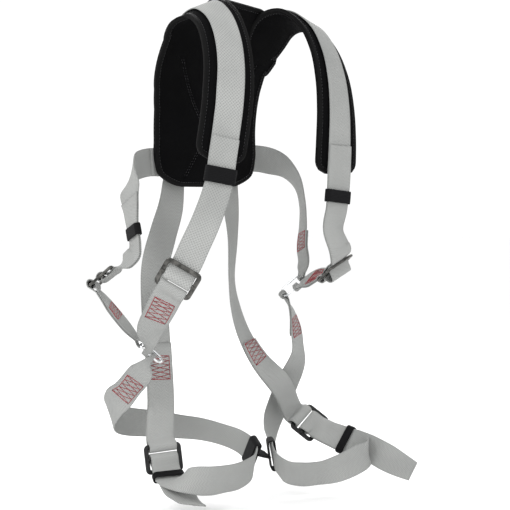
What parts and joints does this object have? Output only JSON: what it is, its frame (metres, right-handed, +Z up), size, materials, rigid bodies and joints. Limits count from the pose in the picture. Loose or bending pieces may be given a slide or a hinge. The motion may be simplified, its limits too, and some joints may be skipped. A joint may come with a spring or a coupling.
{
  "type": "full-body safety harness",
  "caption": "Padded yoke-back webbing body harness with shoulder, side and leg straps, slide buckles, elastic keepers, steel hip links and a crotch tie.",
  "frame": {"origin": "on the centre line, on top of the two shoulder pads, where the harness rests on the shoulders", "axes": "+Z up, +Y towards the wearer's back, so the wearer faces -Y, +X towards the wearer's left"},
  "size_m": [0.5187, 0.2726, 0.7789],
  "materials": {
    "webbing": "woven polyester webbing, dull with a fine cross rib",
    "pad_fabric": "matt black coated nylon",
    "lining": "black spacer mesh",
    "binding": "black woven tape, slightly glossier than the pad",
    "foam": "closed-cell foam, hidden",
    "elastic": "ribbed black elastic",
    "black_webbing": "black woven webbing",
    "gunmetal": "satin plated steel",
    "black_steel": "black satin coating with worn edges",
    "polished_steel": "polished steel wire",
    "red_thread": "dull red bonded thread"
  },
  "bodies": {
    "root": {"back_panel_foam": "foam", "back_panel_lining": "lining", "back_panel_cover": "pad_fabric", "neck_pad_foam": "foam", "neck_pad_lining": "lining", "neck_pad_cover": "pad_fabric", "right_shoulder_pad_foam": "foam", "right_shoulder_pad_lining": "lining", "right_shoulder_pad_cover": "pad_fabric", "left_shoulder_pad_foam": "foam", "left_shoulder_pad_lining": "lining", "left_shoulder_pad_cover": "pad_fabric", "back_panel_binding": "binding", "neck_binding": "binding", "right_pad_binding": "binding", "left_pad_binding": "binding", "right_shoulder_strap": "webbing", "left_shoulder_strap": "webbing", "back_band": "webbing", "right_side_strap": "webbing", "left_side_strap": "webbing", "right_back_strap": "webbing", "left_back_strap": "webbing", "right_shoulder_tie": "webbing", "left_shoulder_tie": "webbing", "right_side_tie": "webbing", "right_leg_strap": "webbing", "left_leg_strap": "webbing", "right_shoulder_buckle_frame": "gunmetal", "left_shoulder_buckle_frame": "gunmetal", "right_side_buckle_frame": "gunmetal", "right_leg_buckle_frame": "black_steel", "left_leg_buckle_frame": "black_steel", "crotch_loop_right": "black_webbing", "crotch_loop_left": "black_webbing", "crotch_tie": "black_webbing", "right_shoulder_tack": "red_thread", "left_shoulder_tack": "red_thread", "right_side_tack": "red_thread", "right_back_tack": "red_thread", "left_back_tack": "red_thread", "right_leg_tack": "red_thread", "left_leg_tack": "red_thread", "left_side_tack": "red_thread"},
    "right_shoulder_buckle_bar": {"right_shoulder_buckle_bar": "gunmetal"},
    "left_shoulder_buckle_bar": {"left_shoulder_buckle_bar": "gunmetal"},
    "right_side_buckle_bar": {"right_side_buckle_bar": "gunmetal"},
    "right_leg_buckle_bar": {"right_leg_buckle_bar": "black_steel"},
    "left_leg_buckle_bar": {"left_leg_buckle_bar": "black_steel"},
    "right_shoulder_keeper": {"right_shoulder_keeper": "elastic"},
    "left_shoulder_keeper": {"left_shoulder_keeper": "elastic"},
    "right_side_keeper": {"right_side_keeper": "elastic"},
    "right_leg_keeper": {"right_leg_keeper": "elastic"},
    "left_leg_keeper": {"left_leg_keeper": "elastic"},
    "right_leg_tail": {"right_leg_tail": "webbing"},
    "left_leg_tail": {"left_leg_tail": "webbing"},
    "right_hip_link": {"right_hip_link": "polished_steel"},
    "left_hip_link": {"left_hip_link": "polished_steel"}
  },
  "joints": [
    {"name": "right_shoulder_buckle_bar_slide", "type": "slide", "parent": "root", "child": "right_shoulder_buckle_bar", "axis": [-0.2442, 0.487, -0.8386], "range_m": [-0.0015, 0.0015]},
    {"name": "left_shoulder_buckle_bar_slide", "type": "slide", "parent": "root", "child": "left_shoulder_buckle_bar", "axis": [0.2159, 0.8438, -0.4913], "range_m": [-0.0015, 0.0015]},
    {"name": "right_side_buckle_bar_slide", "type": "slide", "parent": "root", "child": "right_side_buckle_bar", "axis": [-0.5822, 0.4682, -0.6647], "range_m": [-0.0015, 0.0015]},
    {"name": "right_leg_buckle_bar_slide", "type": "slide", "parent": "root", "child": "right_leg_buckle_bar", "axis": [0.0112, 0.1987, 0.98], "range_m": [-0.0015, 0.0015]},
    {"name": "left_leg_buckle_bar_slide", "type": "slide", "parent": "root", "child": "left_leg_buckle_bar", "axis": [-0.4532, 0.6605, 0.5987], "range_m": [-0.0015, 0.001]},
    {"name": "right_shoulder_keeper_slide", "type": "slide", "parent": "root", "child": "right_shoulder_keeper", "axis": [-0.1735, 0.0785, -0.9817], "range_m": [-0.012, 0.006]},
    {"name": "left_shoulder_keeper_slide", "type": "slide", "parent": "root", "child": "left_shoulder_keeper", "axis": [-0.1168, 0, -0.9932], "range_m": [-0.012, 0.006]},
    {"name": "right_side_keeper_slide", "type": "slide", "parent": "root", "child": "right_side_keeper", "axis": [-0.0108, -0.2714, -0.9624], "range_m": [-0.004, 0.004]},
    {"name": "right_leg_keeper_slide", "type": "slide", "parent": "root", "child": "right_leg_keeper", "axis": [0.278, 0.7645, 0.5816], "range_m": [-0.002, 0.004]},
    {"name": "left_leg_keeper_slide", "type": "slide", "parent": "root", "child": "left_leg_keeper", "axis": [-0.2793, 0.9206, 0.2728], "range_m": [-0.001, 0.004]},
    {"name": "right_leg_tail_bend", "type": "hinge", "parent": "root", "child": "right_leg_tail", "pos_m": [-0.15145, -0.01445, -0.71576], "axis": [-0.9455, 0.2581, -0.1984], "range_deg": [-20, 15]},
    {"name": "left_leg_tail_bend", "type": "hinge", "parent": "root", "child": "left_leg_tail", "pos_m": [0.18837, -0.05633, -0.68442], "axis": [-0.4972, -0.0287, -0.8672], "range_deg": [-15, 2]},
    {"name": "right_hip_link_swing", "type": "hinge", "parent": "root", "child": "right_hip_link", "pos_m": [-0.164, 0.022, -0.519], "axis": [0.5496, -0.4997, -0.6695], "range_deg": [-8, 8]},
    {"name": "left_hip_link_swing", "type": "hinge", "parent": "root", "child": "left_hip_link", "pos_m": [0.133, 0.021, -0.427], "axis": [0.5496, -0.4997, 0.6695], "range_deg": [-8, 8]}
  ]
}
